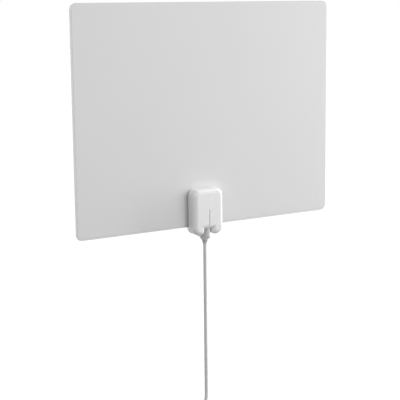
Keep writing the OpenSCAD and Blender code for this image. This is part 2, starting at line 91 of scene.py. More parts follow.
class Effect(Enum):
    """The surface effects that more than one finish shares."""

    GRAIN = "moulded_grain"
    CLOUD = "tone_cloud"
    SCUFFS = "light_scuffs"


def add_socket(tree: Tree, name: str, way: str, kind: str, value: float | tuple | None = None) -> None:
    """Adds one named socket to a node group.

    Args:
        tree: The group's tree.
        name: The socket's name.
        way: INPUT or OUTPUT.
        kind: Float, Color or Vector.
        value: The socket's starting value.
    """
    socket = tree.interface.new_socket(name=name, in_out=way, socket_type=f"NodeSocket{kind}")
    if value is not None:
        socket.default_value = value


def add_node(tree: Tree, kind: str, links: dict | None = None, **values: object) -> Node:
    """Places a shader node, sets its values and joins its inputs.

    Args:
        tree: The tree that gets the node.
        kind: The node's class without its ShaderNode prefix, or In or Out for
            the two ends of a group.
        links: Input name or number to an output socket or a plain value.
        **values: Properties of the node itself.

    Returns:
        The new node.
    """
    node = tree.nodes.new(GROUP_ENDS.get(kind, f"ShaderNode{kind}"))
    for name, value in values.items():
        setattr(node, name, value)
    for name, source in (links or {}).items():
        if isinstance(source, bpy.types.NodeSocket):
            tree.links.new(source, node.inputs[name])
        else:
            node.inputs[name].default_value = source
    return node


def worked(tree: Tree, step: str, *terms: Socket | float, clamp: bool = False) -> Socket:
    """Works out one step of arithmetic.

    Args:
        tree: The tree that gets the node.
        step: The Math node's operation.
        *terms: Output sockets or plain numbers, in the node's order.
        clamp: Whether the result is kept between 0 and 1.

    Returns:
        The result.
    """
    node = add_node(tree, "Math", dict(enumerate(terms)), operation=step, use_clamp=clamp)
    return node.outputs[0]


def carried(tree: Tree, value: Socket, span: Pair, low: Socket | float, high: float) -> Socket:
    """Carries a value evenly from one span to another, and keeps it inside that.

    Args:
        tree: The tree that gets the node.
        value: The value.
        span: The span that it comes from.
        low: What the span's lower end becomes.
        high: What the span's upper end becomes.

    Returns:
        The carried value.
    """
    node = add_node(tree, "MapRange", {"Value": value, "From Min": span[0], "From Max": span[1],
                                       "To Min": low, "To Max": high})
    return node.outputs[0]


def noise(tree: Tree, where: Socket, scale: Socket, detail: float, roughness: float = 0.5) -> Socket:
    """A noise texture's value at a place.

    Args:
        tree: The tree that gets the node.
        where: The place.
        scale: Patterns per metre.
        detail: Layers of finer noise on top of the first.
        roughness: How strong the finer layers are.

    Returns:
        The value, from 0 to 1.
    """
    node = add_node(tree, "TexNoise", {"Vector": where, "Scale": scale, "Detail": detail,
                                       "Roughness": roughness})
    return node.outputs["Fac"]


def stretched(tree: Tree, where: Socket, factors: Triple) -> Socket:
    """A place with each coordinate times its own factor."""
    return add_node(tree, "VectorMath", {0: where, 1: factors}, operation="MULTIPLY").outputs[0]


def dimmed(tree: Tree, colour: Socket, share: Socket) -> Socket:
    """A colour times one share for all its parts."""
    return add_node(tree, "VectorMath", {0: colour, "Scale": share}, operation="SCALE").outputs[0]


def empty_tree(owner: bpy.types.Material | bpy.types.World) -> Tree:
    """Lets a material or a world use nodes, and clears those that it starts with.

    Args:
        owner: The material or the world.

    Returns:
        Its tree, empty.
    """
    owner.use_nodes = True
    owner.node_tree.nodes.clear()
    return owner.node_tree


def background_ray(tree: Tree) -> Socket:
    """Tells rays that see the background from rays that light the object.

    Args:
        tree: A material's or the world's own tree.

    Returns:
        1 for a ray from the camera, a mirror or a glass, and 0 for any other.
    """
    path = add_node(tree, "LightPath").outputs
    seen = worked(tree, "MAXIMUM", path["Is Camera Ray"], path["Is Glossy Ray"])
    return worked(tree, "MAXIMUM", seen, path["Is Transmission Ray"])


def grain_group(tree: Tree) -> None:
    """The fine skin of moulded plastic: a height from two sizes of noise.

    It puts out the height and a shift of the roughness that follows it.

    Args:
        tree: The group's tree, to be filled.
    """
    add_socket(tree, "Vector", "INPUT", "Vector")
    add_socket(tree, "Scale", "INPUT", "Float", 900.0)
    add_socket(tree, "Coarse share", "INPUT", "Float", 0.3)
    add_socket(tree, "Height", "OUTPUT", "Float")
    add_socket(tree, "Shift", "OUTPUT", "Float")
    given = add_node(tree, "In").outputs
    fine = noise(tree, given["Vector"], given["Scale"], 3.0, 0.6)
    wide = worked(tree, "MULTIPLY", given["Scale"], COARSE_SCALE)
    coarse = noise(tree, given["Vector"], wide, 2.0)
    mixed = add_node(tree, "Mix", {0: given["Coarse share"], 2: fine, 3: coarse}).outputs[0]
    shift = carried(tree, mixed, NOISE_SPAN, -1.0, 1.0)
    add_node(tree, "Out", {"Height": mixed, "Shift": shift})


def cloud_group(tree: Tree) -> None:
    """Slow drift of tone across a surface, as plastic film and board show.

    It puts out the colour that it is given, or one a little darker.

    Args:
        tree: The group's tree, to be filled.
    """
    add_socket(tree, "Vector", "INPUT", "Vector")
    add_socket(tree, "Colour", "INPUT", "Color", (0.8, 0.8, 0.8, 1.0))
    add_socket(tree, "Scale", "INPUT", "Float", 12.0)
    add_socket(tree, "Amount", "INPUT", "Float", 0.04)
    add_socket(tree, "Colour", "OUTPUT", "Color")
    given = add_node(tree, "In").outputs
    drift = noise(tree, given["Vector"], given["Scale"], 2.0)
    darkest = worked(tree, "SUBTRACT", 1.0, given["Amount"])
    tone = carried(tree, drift, NOISE_SPAN, darkest, 1.0)
    add_node(tree, "Out", {"Colour": dimmed(tree, given["Colour"], tone)})


def scuff_group(tree: Tree) -> None:
    """Light scuffs, strongest where the noise peaks, that soften a gloss.

    It puts out a mask from 0, clean, to 1, scuffed.

    Args:
        tree: The group's tree, to be filled.
    """
    add_socket(tree, "Vector", "INPUT", "Vector")
    add_socket(tree, "Scale", "INPUT", "Float", 60.0)
    add_socket(tree, "Amount", "INPUT", "Float", 0.3)
    add_socket(tree, "Mask", "OUTPUT", "Float")
    given = add_node(tree, "In").outputs
    where = stretched(tree, given["Vector"], SCUFF_STRETCH)
    peak = carried(tree, noise(tree, where, given["Scale"], 4.0, 0.7), SCUFF_SPAN, 0.0, 1.0)
    add_node(tree, "Out", {"Mask": worked(tree, "MULTIPLY", peak, given["Amount"], clamp=True)})


FILLERS: dict[Effect, Callable[[Tree], None]] = {
    Effect.GRAIN: grain_group, Effect.CLOUD: cloud_group, Effect.SCUFFS: scuff_group,
}


def effect(tree: Tree, which: Effect, links: dict) -> Node:
    """Places a shared effect in a material, and makes its group the first time.

    Args:
        tree: The material's tree.
        which: The effect.
        links: Input name to an output socket or a plain value.

    Returns:
        The group's node.
    """
    group = bpy.data.node_groups.get(which.value)
    if not group:
        group = bpy.data.node_groups.new(which.value, "ShaderNodeTree")
        FILLERS[which](group)
    return add_node(tree, "Group", links, node_tree=group)


# Finishes

@dataclass(frozen=True)
class Finish:
    """One finish: the shader's plain values and how its surface varies.

    Scales are in patterns per metre on Object coordinates. edge_ease is the
    radius, in metres, that a solid's sharp edges seem to have. painted_shade_reach is how
    far from a wall the painted shade reaches, painted_shade_tone is its deepest tone, and
    painted_shade_way points to the light whose soft shadow it paints into the colour.
    """

    name: str
    colour: Triple
    roughness: float = 0.45
    metallic: float = 0.0
    specular: float = 0.5
    coat: float = 0.0
    coat_roughness: float = 0.1
    subsurface: float = 0.0
    grain_scale: float = 900.0
    grain_depth: float = 0.15
    grain_reach: float = 0.05 * MM
    rough_shift: float = 0.04
    cloud_scale: float = 12.0
    cloud_amount: float = 0.03
    scuff_amount: float = 0.25
    scuff_scale: float = 60.0
    edge_ease: float = 0.0
    painted_shade_reach: float = 0.0
    painted_shade_tone: float = 0.5
    painted_shade_way: Triple = (0.6, -0.5, 0.6)

    def material(self) -> bpy.types.Material:
        """Builds the finish once and hands out the same material after that.

        Returns:
            The material.
        """
        found = bpy.data.materials.get(self.name)
        if found:
            return found
        material = bpy.data.materials.new(self.name)
        tree = empty_tree(material)
        where = self.pattern_place(tree, add_node(tree, "TexCoord").outputs["Object"])
        grain = effect(tree, Effect.GRAIN, {"Vector": where, "Scale": self.grain_scale}).outputs
        cloud = effect(tree, Effect.CLOUD, {"Vector": where, "Colour": (*self.colour, 1.0),
                                            "Scale": self.cloud_scale, "Amount": self.cloud_amount})
        scuffs = effect(tree, Effect.SCUFFS, {"Vector": where, "Scale": self.scuff_scale,
                                              "Amount": self.scuff_amount})
        rough = worked(tree, "MULTIPLY_ADD", grain["Shift"], self.rough_shift, self.roughness)
        mask = scuffs.outputs["Mask"]
        scuffed = worked(tree, "MULTIPLY_ADD", mask, SCUFF_ROUGHNESS, rough, clamp=True)
        bump = add_node(tree, "Bump", {"Strength": self.grain_depth, "Distance": self.grain_reach,
                                       "Height": self.relief(tree, where, grain["Height"])})
        if self.edge_ease:
            bevel = add_node(tree, "Bevel", {"Radius": self.edge_ease}, samples=EDGE_SAMPLES)
            tree.links.new(bevel.outputs[0], bump.inputs["Normal"])
        tinted = self.tint(tree, where, cloud.outputs["Colour"])
        # The base colour carries painted shade: a soft shadow beside walls, from nooks
        shader = add_node(tree, "BsdfPrincipled", {
            "Base Color": self.painted_shade(tree, tinted),
            "Roughness": scuffed,
            "Normal": bump.outputs[0],
            "Metallic": self.metallic,
            "Specular IOR Level": self.specular,
            "Coat Weight": self.coat,
            "Coat Roughness": self.coat_roughness,
            "Subsurface Weight": self.subsurface,
            "Subsurface Radius": SUBSURFACE_PARTS,
            "Subsurface Scale": SUBSURFACE_SCALE,
        })
        add_node(tree, "OutputMaterial", {"Surface": shader.outputs[0]})
        return material

    def painted_shade(self, tree: Tree, colour: Socket) -> Socket:
        """Paints shade into the colour beside a wall that keeps off the light from painted_shade_way.

        Args:
            tree: The material's tree.
            colour: The colour in the open.

        Returns:
            The colour with its painted shade, or the same colour where painted_shade_reach is 0.
        """
        if not self.painted_shade_reach:
            return colour
        # Ambient occlusion about painted_shade_way, painted into the colour as a soft shadow
        way = add_node(tree, "CombineXYZ", dict(enumerate(self.painted_shade_way))).outputs[0]
        sky = add_node(tree, "AmbientOcclusion", {"Distance": self.painted_shade_reach, "Normal": way},
                       samples=PAINTED_SHADE_SAMPLES)
        return dimmed(tree, colour, carried(tree, sky.outputs["AO"], PAINTED_SHADE_SPAN, self.painted_shade_tone, 1.0))

    def pattern_place(self, tree: Tree, where: Socket) -> Socket:
        """Where the patterns are read: plain Object coordinates."""
        return where

    def relief(self, tree: Tree, where: Socket, height: Socket) -> Socket:
        """The height that the bump follows: the grain alone."""
        return height

    def tint(self, tree: Tree, where: Socket, colour: Socket) -> Socket:
        """The base colour: the drifting tone alone."""
        return colour


@dataclass(frozen=True)
class BrushedFinish(Finish):
    """Drawn or brushed metal, whose grain is stretched along one axis."""

    stretch: Triple = (1.0, 1.0, 0.1)

    def pattern_place(self, tree: Tree, where: Socket) -> Socket:
        """Object coordinates, squeezed along the way the metal was drawn."""
        return stretched(tree, where, self.stretch)


@dataclass(frozen=True)
class WovenFinish(Finish):
    """Braided wire: two families of bands that cross on the surface."""

    bands: float = 900.0

    def relief(self, tree: Tree, where: Socket, height: Socket) -> Socket:
        """Height of two crossing sets of waves, the higher of the two.

        Each is sin(2 pi bands (x + y) lean + 2 pi bands z), with lean 1 or -1.

        Args:
            tree: The material's tree.
            where: Object coordinates.
            height: The grain, which the braid doesn't show.

        Returns:
            The height.
        """
        waves = []
        for lean in (1.0, -1.0):
            along = add_node(tree, "VectorMath", {0: where, 1: (lean, lean, 1.0)},
                             operation="DOT_PRODUCT").outputs["Value"]
            turns = worked(tree, "MULTIPLY", along, self.bands * 2.0 * math.pi)
            waves.append(worked(tree, "SINE", turns))
        return worked(tree, "MAXIMUM", *waves)


@dataclass(frozen=True)
class BoardFinish(Finish):
    """Lacquered circuit board with tinned pads. pad_span is where a pad's edge fades."""

    pad: Triple = (0.55, 0.52, 0.42)
    pads: float = 420.0
    pad_span: Pair = (0.16, 0.2)

    def tint(self, tree: Tree, where: Socket, colour: Socket) -> Socket:
        """Shows a pad at the middle of each cell, and lacquer elsewhere.

        Args:
            tree: The material's tree.
            where: Object coordinates.
            colour: The lacquer's colour.

        Returns:
            The colour of the pads and the lacquer.
        """
        cells = add_node(tree, "TexVoronoi", {"Vector": where, "Scale": self.pads},
                         feature="F1", distance="MANHATTAN")
        mask = carried(tree, cells.outputs["Distance"], self.pad_span, 1.0, 0.0)
        mix = add_node(tree, "Mix", {0: mask, 6: colour, 7: (*self.pad, 1.0)}, data_type="RGBA")
        return mix.outputs[2]


# The film's painted_shade_reach paints shade onto it beside the pod: a soft shadow from the upper right
FILM = Finish(
    "sheet_film_satin", (0.66, 0.66, 0.66), roughness=0.42, specular=0.45, grain_scale=1400.0,
    grain_depth=0.12, cloud_scale=9.0, cloud_amount=0.012, scuff_amount=0.12, painted_shade_reach=7.0 * MM)
FILM_BACK = Finish(
    "sheet_film_back", (0.66, 0.66, 0.66), roughness=0.5, specular=0.4, grain_scale=1100.0,
    grain_depth=0.2, cloud_scale=8.0, cloud_amount=0.02, scuff_amount=0.15)
POD = Finish(
    "pod_white_gloss", (0.72, 0.72, 0.72), roughness=0.26, coat=0.25, coat_roughness=0.08,
    subsurface=0.05, grain_scale=1600.0, grain_depth=0.06, cloud_scale=40.0, cloud_amount=0.012,
    scuff_amount=0.12, edge_ease=2.4 * MM)
POD_BACK = Finish(
    "pod_white_back", (0.78, 0.78, 0.78), roughness=0.38, grain_scale=1500.0, grain_depth=0.25,
    cloud_scale=40.0, cloud_amount=0.02, scuff_amount=0.2)
RELIEF = Finish(
    "relief_white_soft", (0.64, 0.64, 0.64), roughness=0.48, grain_scale=1500.0, grain_depth=0.2,
    cloud_scale=80.0)
CORD = Finish(
    "lead_white_soft", (0.57, 0.57, 0.57), roughness=0.42, specular=0.45, grain_scale=1200.0,
    grain_depth=0.25, cloud_scale=25.0, cloud_amount=0.05, scuff_amount=0.3)
GRIP = Finish(
    "plug_white_soft", (0.68, 0.68, 0.68), roughness=0.46, grain_scale=1300.0, grain_depth=0.3,
    cloud_scale=60.0)
TIE = Finish(
    "tie_clear_nylon", (0.74, 0.74, 0.72), roughness=0.32, subsurface=0.1, grain_scale=1000.0,
    cloud_scale=90.0)
NICKEL = BrushedFinish(
    "plug_nickel", (0.62, 0.61, 0.58), roughness=0.2, metallic=1.0, grain_scale=2500.0,
    grain_depth=0.12, cloud_scale=120.0, cloud_amount=0.06, scuff_amount=0.4, stretch=(1.0, 1.0, 0.15))
SCREW = BrushedFinish(
    "screw_zinc", (0.55, 0.55, 0.56), roughness=0.3, metallic=1.0, grain_scale=3000.0,
    grain_depth=0.2, cloud_scale=200.0, cloud_amount=0.1, scuff_amount=0.5, stretch=(1.0, 0.2, 1.0))
FOIL = BrushedFinish(
    "element_foil", (0.72, 0.72, 0.73), roughness=0.28, metallic=1.0, grain_scale=1200.0,
    grain_depth=0.2, cloud_scale=40.0, cloud_amount=0.08, stretch=(0.1, 1.0, 1.0))
BRASS = BrushedFinish(
    "contact_brass", (0.72, 0.55, 0.25), roughness=0.26, metallic=1.0, grain_scale=2500.0,
    cloud_scale=200.0, cloud_amount=0.1, stretch=(1.0, 1.0, 0.15))
COPPER = BrushedFinish(
    "wire_copper", (0.6, 0.26, 0.12), roughness=0.25, metallic=1.0, grain_scale=3000.0,
    grain_depth=0.1, cloud_scale=250.0, cloud_amount=0.1)
FERRITE = Finish(
    "core_ferrite", (0.06, 0.06, 0.065), roughness=0.6, grain_scale=2500.0, grain_depth=0.5,
    cloud_scale=200.0, cloud_amount=0.2)
BOARD = BoardFinish(
    "board_lacquer", (0.05, 0.25, 0.1), roughness=0.3, coat=0.3, grain_scale=1500.0,
    cloud_scale=60.0, cloud_amount=0.15)
BRAID = WovenFinish(
    "lead_braid_tinned", (0.6, 0.6, 0.6), roughness=0.3, metallic=1.0, grain_depth=0.6,
    grain_reach=0.2 * MM)
INSULATION = Finish(
    "lead_insulation", (0.8, 0.8, 0.78), roughness=0.5, subsurface=0.1, grain_scale=1800.0,
    cloud_scale=100.0)


# Surfaces

# No ease takes more than this share of a profile's side
EASE_SHARE = 0.49
# Points round a turned piece, round a small one, and round one whose section isn't round
SIDES = 72
SMALL_SIDES = 40
SHAPED_SIDES = 96
# Parts of the route between two knots, and the least distance that it counts
ROUTE_PARTS = 8
LEAST_STEP = 1e-9


class Ends(Enum):
    """How the first and the last ring of a grid are closed."""

    CAPS = "caps"
    LOOP = "loop"


def grid_quads(rows: int, columns: int, loop: bool) -> np.ndarray:
    """Faces of a grid of points that wraps round its columns.

    Args:
        rows: Rings of points.
        columns: Points in a ring.
        loop: Whether the last ring joins the first.

    Returns:
        An array of four point numbers for each face.
    """
    i = np.arange(rows if loop else rows - 1)[:, None]
    j = np.arange(columns)[None, :]
    m, k = (i + 1) % rows, (j + 1) % columns
    corners = [i * columns + j, i * columns + k, m * columns + k, m * columns + j]
    return np.stack(corners, axis=-1).reshape(-1, 4)


def outward(mesh: bpy.types.Mesh) -> None:
    """Turns a closed mesh so that its faces point outwards.

    They do where its signed volume, the sum of a . (b x c) / 6 over triangles
    with the corners a, b and c, is positive.

    Args:
        mesh: The mesh.
    """
    points = np.empty(len(mesh.vertices) * 3, np.float32)
    mesh.vertices.foreach_get("co", points)
    mesh.calc_loop_triangles()
    corners = np.empty(len(mesh.loop_triangles) * 3, np.int32)
    mesh.loop_triangles.foreach_get("vertices", corners)
    a, b, c = (points.reshape(-1, 3)[corners.reshape(-1, 3)[:, n]] for n in range(3))
    if float(np.einsum("ij,ij->", a, np.cross(b, c))) < 0:
        mesh.flip_normals()


def surface_piece(name: str, grids: list[np.ndarray], finish: Finish,
                  ends: Ends = Ends.CAPS) -> Object:
    """Makes a piece from rings of points carried along a second parameter.

    Each grid has the shape rings, points, 3, and wraps round its points. Caps
    end it with a fan to the middle of the first and of the last ring. A loop
    joins its last ring to its first.

    Args:
        name: The piece's name.
        grids: The grids of points, each a shell of its own.
        finish: Its finish.
        ends: How the two ends are closed.

    Returns:
        The piece, at the origin and riding on the body.
    """
    points, faces, start = [], [], 0
    for grid in grids:
        rings, columns = grid.shape[:2]
        faces += (grid_quads(rings, columns, ends is Ends.LOOP) + start).tolist()
        points.append(grid.reshape(-1, 3))
        if ends is Ends.CAPS:
            ring = np.arange(columns) + start
            after = np.roll(ring, -1)
            far = (rings - 1) * columns
            pole = np.full(columns, start + rings * columns)
            faces += np.stack([after, ring, pole], axis=-1).tolist()
            faces += np.stack([ring + far, after + far, pole + 1], axis=-1).tolist()
            points.append(np.stack([grid[0].mean(axis=0), grid[-1].mean(axis=0)]))
        start = sum(map(len, points))
    mesh = bpy.data.meshes.new(name)
    mesh.from_pydata(np.concatenate(points).tolist(), [], faces)
    mesh.validate()
    outward(mesh)
    mesh.polygons.foreach_set("use_smooth", np.ones(len(mesh.polygons), bool))
    piece = placed(name, mesh)
    dress(piece, finish)
    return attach(piece, BODY)


def placed(name: str, data: bpy.types.ID) -> Object:
    """Puts a new object in the scene, at the origin.

    Args:
        name: Its name.
        data: Its mesh, camera or lamp.

    Returns:
        The object.
    """
    thing = bpy.data.objects.new(name, data)
    bpy.context.scene.collection.objects.link(thing)
    return thing


def dress(piece: Object, finish: Finish) -> None:
    """Gives a piece or a solid its finish, in place of what it had."""
    piece.data.materials.clear()
    piece.data.materials.append(finish.material())


def angles(sides: int) -> np.ndarray:
    """Angles at even steps round a full turn, in radians, from 0."""
    return np.linspace(0.0, 2.0 * np.pi, sides, endpoint=False)


def smooth_step(share: np.ndarray) -> np.ndarray:
    """3 t^2 - 2 t^3, where t is the share kept between 0 and 1."""
    t = np.clip(share, 0.0, 1.0)
    return t * t * (3.0 - 2.0 * t)


def axis_of(low: Vector, high: Vector) -> Pair:
    """Where the upright axis of a box stands, as x and y."""
    return (low[0] + high[0]) / 2, (low[1] + high[1]) / 2


def turned(profile: np.ndarray, centre: Pair, sides: int,
           shape: Callable[[np.ndarray, np.ndarray], np.ndarray] | None = None) -> np.ndarray:
    """A profile turned about an upright axis.

    A point is centre + radius(s) * (cos a, sin a), at the profile's height, and
    shape may change the radius over height and angle.

    Args:
        profile: Rows of radius and height, in metres.
        centre: Where the axis stands, as x and y.
        sides: Points round the axis.
        shape: Takes heights and angles and returns a factor on the radius.

    Returns:
        A grid of points.
    """
    angle = angles(sides)
    radius = profile[:, 0][:, None] * np.ones(sides)
    height = profile[:, 1][:, None] * np.ones(sides)
    if shape is not None:
        radius = radius * shape(height, np.broadcast_to(angle, height.shape))
    x, y = centre
    return np.stack([x + radius * np.cos(angle), y + radius * np.sin(angle), height], axis=-1)


def eased(corners: list[Triple], steps: int = 5) -> np.ndarray:
    """A profile whose corners are eased by small arcs.

    Each corner point gives radius, height and the length that the ease takes
    from both sides. The ease is a quadratic curve from one side to the other.

    Args:
        corners: Rows of radius, height and ease.
        steps: Points in each ease.

    Returns:
        Rows of radius and height.
    """
    rows = np.array(corners, float)
    out = [rows[0, :2]]
    for before, here, after in zip(rows[:-2], rows[1:-1], rows[2:]):
        back, on = before[:2] - here[:2], after[:2] - here[:2]
        back_length, on_length = np.linalg.norm(back), np.linalg.norm(on)
        reach = min(here[2], EASE_SHARE * back_length, EASE_SHARE * on_length)
        if reach <= 0:
            out.append(here[:2])
            continue
        a = here[:2] + back / back_length * reach
        b = here[:2] + on / on_length * reach
        t = np.linspace(0.0, 1.0, steps)[:, None]
        out.extend((1 - t) ** 2 * a + 2 * t * (1 - t) * here[:2] + t ** 2 * b)
    out.append(rows[-1, :2])
    return np.array(out)


def finer(profile: np.ndarray, parts: int) -> np.ndarray:
    """A profile with each stretch cut into equal parts, for a shape that varies along it.

    Args:
        profile: Rows of radius and height.
        parts: Parts for each stretch.

    Returns:
        Rows of radius and height.
    """
    at = np.arange((len(profile) - 1) * parts + 1) / parts
    return np.stack([np.interp(at, np.arange(len(profile)), profile[:, n]) for n in range(2)], axis=-1)


def frames_along(path: np.ndarray) -> tuple[np.ndarray, np.ndarray]:
    """Two directions square to a path that never runs along Y.

    With t the path's direction, the first is t x Y, brought to length 1, and the
    second is t x the first.

    Args:
        path: Points along the path.

    Returns:
        The two directions at each point.
    """
    tangent = np.gradient(path, axis=0)
    tangent /= np.linalg.norm(tangent, axis=1, keepdims=True)
    side = np.cross(tangent, (0.0, 1.0, 0.0))
    side /= np.linalg.norm(side, axis=1, keepdims=True)
    return side, np.cross(tangent, side)


def tube(path: np.ndarray, radius: float, sides: int) -> np.ndarray:
    """A round section carried along a path.

    A point is path(s) + radius * (cos a * side(s) + sin a * other(s)).

    Args:
        path: Points along the path.
        radius: The section's radius.
        sides: Points round the section.

    Returns:
        A grid of points.
    """
    side, other = frames_along(path)
    angle = angles(sides)[None, :, None]
    ring = np.cos(angle) * side[:, None, :] + np.sin(angle) * other[:, None, :]
    return path[:, None, :] + radius * ring


def smooth_route(knots: np.ndarray, step: float) -> np.ndarray:
    """A curve through every knot, taken at even steps.

    Between two knots the curve is the centripetal Catmull-Rom cubic: each
    knot's slope comes from its neighbours, weighted by the root of their
    distances, so no loop or overshoot forms.

    Args:
        knots: The points that the curve passes.
        step: Spacing along the curve, in metres.

    Returns:
        Points along the curve.
    """
    padded = np.concatenate([[2 * knots[0] - knots[1]], knots, [2 * knots[-1] - knots[-2]]])
    root = np.sqrt(np.maximum(np.linalg.norm(np.diff(padded, axis=0), axis=1), LEAST_STEP))
    p0, p1, p2, p3 = padded[:-3], padded[1:-2], padded[2:-1], padded[3:]
    d0, d1, d2 = root[:-2, None], root[1:-1, None], root[2:, None]
    slope_1 = ((p1 - p0) / d0 - (p2 - p0) / (d0 + d1) + (p2 - p1) / d1) * d1
    slope_2 = ((p2 - p1) / d1 - (p3 - p1) / (d1 + d2) + (p3 - p2) / d2) * d1
    t = np.linspace(0.0, 1.0, ROUTE_PARTS + 1)[:-1][None, :, None]
    h = [2 * t ** 3 - 3 * t ** 2 + 1, t ** 3 - 2 * t ** 2 + t, -2 * t ** 3 + 3 * t ** 2, t ** 3 - t ** 2]
    curve = sum(weight * part[:, None] for weight, part in zip(h, (p1, slope_1, p2, slope_2)))
    curve = np.concatenate([curve.reshape(-1, 3), knots[-1:]])
    along = np.concatenate([[0.0], np.cumsum(np.linalg.norm(np.diff(curve, axis=0), axis=1))])
    even = np.linspace(0.0, along[-1], int(along[-1] / step) + 1)
    return np.stack([np.interp(even, along, curve[:, n]) for n in range(3)], axis=-1)


# Camera

@dataclass(frozen=True)
class Viewpoint:
    """The photograph's viewpoint, fitted to the sheet's corners and the pod.

    Angles are in radians. The focal length and the image's width are in pixels,
    the sensor's width is in millimetres, and the shift is in widths of the image.
    """

    focal: float = 1083.72
    yaw: float = 0.53842
    pitch: float = 0.16297
    roll: float = -0.01102
    target: Triple = (-1.74 * MM, 0.0, 32.5 * MM)
    distance: float = 1.2222
    shift: float = -0.045
    image: float = 400.0
    sensor: float = 36.0
    clip: Pair = (0.01, 50.0)

    def place(self) -> None:
        """Makes the scene's camera, which looks at the target from the fitted side."""
        flat = math.cos(self.pitch)
        forward = Vector((math.sin(self.yaw) * flat, math.cos(self.yaw) * flat, -math.sin(self.pitch)))
        right = Vector((math.cos(self.yaw), -math.sin(self.yaw), 0.0))
        up = right.cross(forward)
        level = right * math.cos(self.roll) + up * math.sin(self.roll)
        above = up * math.cos(self.roll) - right * math.sin(self.roll)
        lens = bpy.data.cameras.new("viewpoint")
        lens.sensor_width = self.sensor
        lens.lens = self.focal / self.image * self.sensor
        lens.shift_y = self.shift
        lens.clip_start, lens.clip_end = self.clip
        camera = placed("viewpoint", lens)
        turn = Matrix((level, above, -forward)).transposed().to_4x4()
        camera.matrix_world = Matrix.Translation(Vector(self.target) - forward * self.distance) @ turn
        bpy.context.scene.camera = camera


# Lead

# The lead's route points, as the part's source gives them, in millimetres
DROP_ROUTE = (
    (0, -6.3, -37.5), (0, -6.3, -44), (0, -6.3, -52), (0, -6.3, -64), (0, -6.3, -78), (0, -6.3, -92),
    (0, -6.3, -106), (0, -6.3, -120), (0, -6.3, -134), (0, -6.3, -148), (0, -6.3, -162), (0, -6.3, -176),
    (0, -6.3, -190), (0, -6.3, -204), (0, -6.3, -214), (-0.5, -6.5, -220.5), (-2, -6.8, -226.5),
    (-5, -7, -231), (-9, -7, -235),
)
TAIL_ROUTE = ((-28, -7, -283), (-28, -7, -290), (-28, -7, -297), (-28, -7, -304), (-28, -7, -311))


class Place(Enum):
    """The nine places of a turn in the coil's section, as layer and row."""

    OUTER_FRONT = (1, -1)
    OUTER_MIDDLE = (1, 0)
    CENTRE_MIDDLE = (0, 0)
    CENTRE_FRONT = (0, -1)
    INNER_FRONT = (-1, -1)
    INNER_MIDDLE = (-1, 0)
    INNER_BACK = (-1, 1)
    CENTRE_BACK = (0, 1)
    OUTER_BACK = (1, 1)


@dataclass(frozen=True)
class Tie:
    """The nylon tie round the coil: a flat band of rounded square section.

    With p the corner power, a point of its inner face lies half * sign(cos a) *
    |cos a| ^ p out from the section's middle, and the same with the sine along
    Y. The outer edges start to round at edge_rise of the wall and are level at
    edge_run of the half width, and the inner face has a ring at inner_run.
    """

    half: float = 6.85 * MM
    wall: float = 0.95 * MM
    half_width: float = 2.4 * MM
    corner_power: float = 0.42
    edge_rise: float = 0.7
    edge_run: float = 0.85
    inner_run: float = 0.4

    def build(self, coil_at: Triple, coil_radius: float) -> Object:
        """Draws the band round the coil's section, where the plain tie sits.

        Args:
            coil_at: The coil's middle.
            coil_radius: The radius at the middle of its turns.

        Returns:
            The tie, which stands for its plain solid.
        """
        low, high = (np.array(corner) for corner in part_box("cable_tie"))
        at = (low + high) / 2
        lean = math.atan2(at[2] - coil_at[2], at[0] - coil_at[0])
        out = np.array((math.cos(lean), 0.0, math.sin(lean)))
        along = np.array((-math.sin(lean), 0.0, math.cos(lean)))
        across = np.array((0.0, 1.0, 0.0))
        rise, outer = self.half + self.wall * self.edge_rise, self.half + self.wall
        wide = self.half_width
        run, inside = wide * self.edge_run, wide * self.inner_run
        rings = [(self.half, -wide), (rise, -wide), (outer, -run), (outer, run),
                 (rise, wide), (self.half, wide), (self.half, inside), (self.half, -inside)]
        middle = np.array(coil_at) + out * coil_radius
        turn = np.stack([np.cos(angles(SHAPED_SIDES)), np.sin(angles(SHAPED_SIDES))], axis=-1)
        square = np.sign(turn) * np.abs(turn) ** self.corner_power
        square = square @ np.stack([out, across])
        grid = np.stack([middle + square * size + along * offset for size, offset in rings])
        tie = surface_piece("tie_strap", [grid], TIE, Ends.LOOP)
        LOG.info("tie_strap: round the coil's section at %.0f degrees", math.degrees(lean))
        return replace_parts(tie, "cable_tie")


